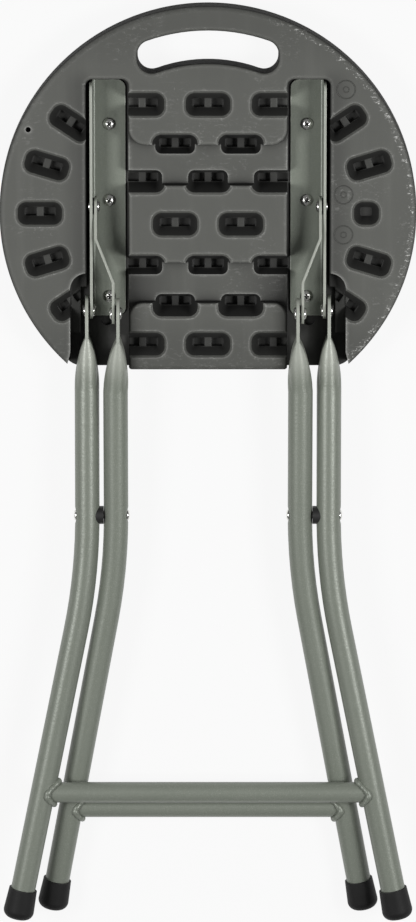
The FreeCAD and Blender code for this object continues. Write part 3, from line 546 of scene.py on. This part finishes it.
def cut_form(solid, cutter):
    """The first form less the second, as a new form."""
    objects = []
    for form in (solid, cutter):
        mesh = bpy.data.meshes.new("working")
        form.to_mesh(mesh)
        form.free()
        working = bpy.data.objects.new("working", mesh)
        bpy.context.scene.collection.objects.link(working)
        objects.append(working)
    modifier = objects[0].modifiers.new("cut", "BOOLEAN")
    modifier.object = objects[1]
    modifier.operation = "DIFFERENCE"
    modifier.use_self = True
    result = bmesh.new()
    result.from_object(objects[0], bpy.context.evaluated_depsgraph_get())
    for working in objects:
        mesh = working.data
        bpy.data.objects.remove(working)
        bpy.data.meshes.remove(mesh)
    return result


def islands(node):
    """The corners of each separate solid of a node, as lists of points, from left to right."""
    join_distance = 1e-6
    form = bmesh.new()
    form.from_mesh(nodes[node].data)
    bmesh.ops.remove_doubles(form, verts=form.verts, dist=join_distance)
    waiting = set(form.verts)
    found = []
    while waiting:
        front = [waiting.pop()]
        island = []
        while front:
            vert = front.pop()
            island.append(vert.co.copy())
            for link in vert.link_edges:
                other = link.other_vert(vert)
                if other in waiting:
                    waiting.remove(other)
                    front.append(other)
        found.append(island)
    form.free()
    return sorted(found, key=lambda points: (round(min(p.x for p in points), 3), min(p.y for p in points)))


def screw_profile(radius, shank_end, tall):
    """A pan head as (radius, height) pairs from its seat, with a stub of shank below."""
    shank = 0.4
    neck = 0.45
    under = 0.99
    rim_height = 0.25
    rim_slope = math.radians(64)
    steps = 8
    profile = [
        (0.0, shank_end), (radius * shank, shank_end), (radius * neck, 0.0), (radius * under, 0.0),
    ]
    for step in range(steps + 1):
        angle = rim_slope * (1 - step / steps)
        lift = (math.cos(angle) - math.cos(rim_slope)) / (1 - math.cos(rim_slope))
        reach = radius * math.sin(angle) / math.sin(rim_slope)
        profile.append((reach, tall * (rim_height + (1 - rim_height) * lift)))
    return profile


def bracket_screws():
    """Pan-head screws with a cross recess, each turned its own way."""
    head_edge = 0.8
    cross_arm = 0.56
    cross_width = 0.25
    cross_depth = 0.72
    first_turn = 0.4
    next_turn = 1.1
    sharp_angle = math.radians(32)
    for count, points in enumerate(islands("bracket_screws"), start=1):
        low = Vector(min(p[axis] for p in points) for axis in range(3))
        high = Vector(max(p[axis] for p in points) for axis in range(3))
        centre = (low + high) / 2
        radius = (high.x - low.x) / 2
        head = [p for p in points if (p - centre).xy.length > radius * head_edge]
        seat = min(p.z for p in head)
        tall = high.z - seat
        blank = turned_form(screw_profile(radius, low.z - seat, tall))
        cutter = cross_cutter(radius * cross_arm, radius * cross_width, tall * cross_depth, tall)
        form = cut_form(blank, cutter)
        turn = Matrix.Rotation(first_turn + next_turn * count, 4, "Z")
        form.transform(Matrix.Translation((centre.x, centre.y, seat)) @ turn)
        screw = add_piece("bracket_screw_%d" % count, form, "seat", "zinc")
        screw.data.set_sharp_from_angle(angle=sharp_angle)
        if count == 1:
            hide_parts("bracket_screws")


def weld_bead(frame_name, side):
    """A rippled bead where a rail meets its leg, on the line where the two surfaces cross."""
    bead_radius = 0.0023
    off_rail = 0.0011
    off_leg = 0.0008
    points = 72
    around = 10
    ripples, ripple_height = 15, 0.14
    waves, wave_height = 4, 0.12
    phase = 1 if side == "right" else 0
    way = ACROSS if side == "right" else -ACROSS
    rail_low, rail_high = (Vector(corner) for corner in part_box(frame_name + "_rail"))
    centre = (rail_low + rail_high) / 2
    reach = (rail_high.z - rail_low.z) / 2 + off_rail
    tree = node_tree("%s_%s_leg" % (side, frame_name))
    centres = []
    radii = []
    for index in range(points):
        angle = FULL_TURN * index / points
        start = Vector((0.0, centre.y + reach * math.cos(angle), centre.z + reach * math.sin(angle)))
        hit = tree.ray_cast(start, way)[0]
        centres.append(hit - way * off_leg)
        ripple = ripple_height * math.sin(angle * ripples + phase) ** 3
        wave = wave_height * math.sin(angle * waves + 1)
        radii.append(bead_radius * (1 + ripple + wave))
    form = bmesh.new()
    loop_tube(form, centres, radii, ACROSS, around)
    add_piece("%s_%s_weld" % (side, frame_name), form, frame_name + "_frame", "grey_paint")


def parting_line():
    """The fine ridge where the two halves of the seat's mould met, round its edge."""
    height = 0.009
    ridge_radius = 0.00048
    sink = 0.00015
    outside = 0.3
    points = 360
    around = 8
    tree = node_tree("seat_shell")
    centres = []
    for index in range(points):
        angle = FULL_TURN * index / points
        out = Vector((math.cos(angle), math.sin(angle), 0.0))
        hit = tree.ray_cast(out * outside + UPRIGHT * height, -out)[0]
        centres.append(hit - out * sink)
    form = bmesh.new()
    loop_tube(form, centres, [ridge_radius] * points, UPRIGHT, around)
    add_piece("parting_line", form, "seat", "seat_plastic")


def blank_marks():
    """Plain raised rings where the moulding carries round marks."""
    spots = ((0.1055, 0.0959), (0.1039, 0.0146), (0.1039, -0.0165))
    rings = ((0.0070, 0.00042), (0.0022, 0.00034))
    above = 0.1
    points = 64
    around = 8
    tree = node_tree("seat_shell")
    form = bmesh.new()
    for x, y in spots:
        centre = tree.ray_cast(Vector((x, y, above)), -UPRIGHT)[0]
        for ring, thick in rings:
            centres = []
            for index in range(points):
                angle = FULL_TURN * index / points
                centres.append(centre + Vector((ring * math.cos(angle), ring * math.sin(angle), 0.0)))
            loop_tube(form, centres, [thick] * points, UPRIGHT, around)
    add_piece("blank_marks", form, "seat", "seat_plastic", "mark_shade_plastic")


# Floor, light and camera.
def make_floor():
    """A white floor: bright to the camera and to reflections, darker where the stool shades it."""
    half = 6.0
    drop = 0.0002
    glow_share = 0.9
    form = bmesh.new()
    bmesh.ops.create_grid(form, x_segments=1, y_segments=1, size=half)
    mesh = bpy.data.meshes.new("floor")
    form.to_mesh(mesh)
    form.free()
    floor = bpy.data.objects.new("floor", mesh)
    bpy.context.scene.collection.objects.link(floor)
    floor.location.z = cad_box[0][2] - drop
    g = Graph("floor_white")
    g.shade(Base_Color=g.mix(g.noise(1.2, 2.0), (0.55, 0.55, 0.55), (0.58, 0.58, 0.58)), Roughness=0.9)
    rays = g.add("ShaderNodeLightPath").outputs
    seen = g.most(rays["Is Camera Ray"], rays["Is Glossy Ray"], rays["Is Transmission Ray"])
    glow = g.add("ShaderNodeEmission", {"Color": WHITE, "Strength": 1.0}).outputs[0]
    links = {0: g.times(seen, glow_share), 1: g.shader.outputs[0], 2: glow}
    blend = g.add("ShaderNodeMixShader", links).outputs[0]
    g.feed(g.tree.nodes["Material Output"].inputs["Surface"], blend)
    mesh.materials.append(g.material)


def make_lights():
    """Two soft square lamps, either side and above, aimed at the floor between them."""
    out = 1.15
    along = -0.1
    above = 1.5
    width = 0.6
    target = Vector((0.0, along, 0.0))
    for name, x, watts in (("soft_left", -out, 18.3), ("soft_right", out, 20.6)):
        data = bpy.data.lights.new(name, "AREA")
        data.shape = "RECTANGLE"
        data.size = width
        data.size_y = width
        data.energy = watts
        light = bpy.data.objects.new(name, data)
        bpy.context.scene.collection.objects.link(light)
        light.location = (x, along, above)
        light.rotation_mode = "QUATERNION"
        light.rotation_quaternion = (target - light.location).to_track_quat("-Z", "Y")


def make_world():
    strength = 0.16
    world = bpy.data.worlds.new("studio")
    world.use_nodes = True
    back = world.node_tree.nodes["Background"]
    back.inputs["Color"].default_value = (*WHITE, 1.0)
    back.inputs["Strength"].default_value = strength
    bpy.context.scene.world = world


def make_camera():
    """From the hand-slot side of straight above, with the photograph's framing."""
    photo_height = 922
    seat_row = 213.5
    metres_per_row = 0.000767
    distance = 4.0
    tilt = math.radians(9.0)
    shift = -0.25
    sensor = 36.0
    target_height = 0.032
    axis_row = photo_height / 2 + shift * photo_height
    target = Vector((0.0, -(axis_row - seat_row) * metres_per_row, target_height))
    data = bpy.data.cameras.new("photo_camera")
    data.sensor_width = sensor
    data.lens = distance / metres_per_row / photo_height * sensor
    data.shift_y = shift
    camera = bpy.data.objects.new("photo_camera", data)
    bpy.context.scene.collection.objects.link(camera)
    back = Vector((0.0, math.sin(tilt), math.cos(tilt)))
    up = Vector((0.0, math.cos(tilt), -math.sin(tilt)))
    turn = Matrix((ACROSS, up, back)).transposed()
    camera.matrix_world = Matrix.Translation(target + back * distance) @ turn.to_4x4()
    bpy.context.scene.camera = camera


dress_nodes()
parting_line()
blank_marks()
bracket_screws()
for frame_name in ("outer", "inner"):
    for side in SIDES:
        weld_bead(frame_name, side)
make_floor()
make_world()
make_lights()
make_camera()
bpy.context.scene.view_settings.view_transform = "Standard"
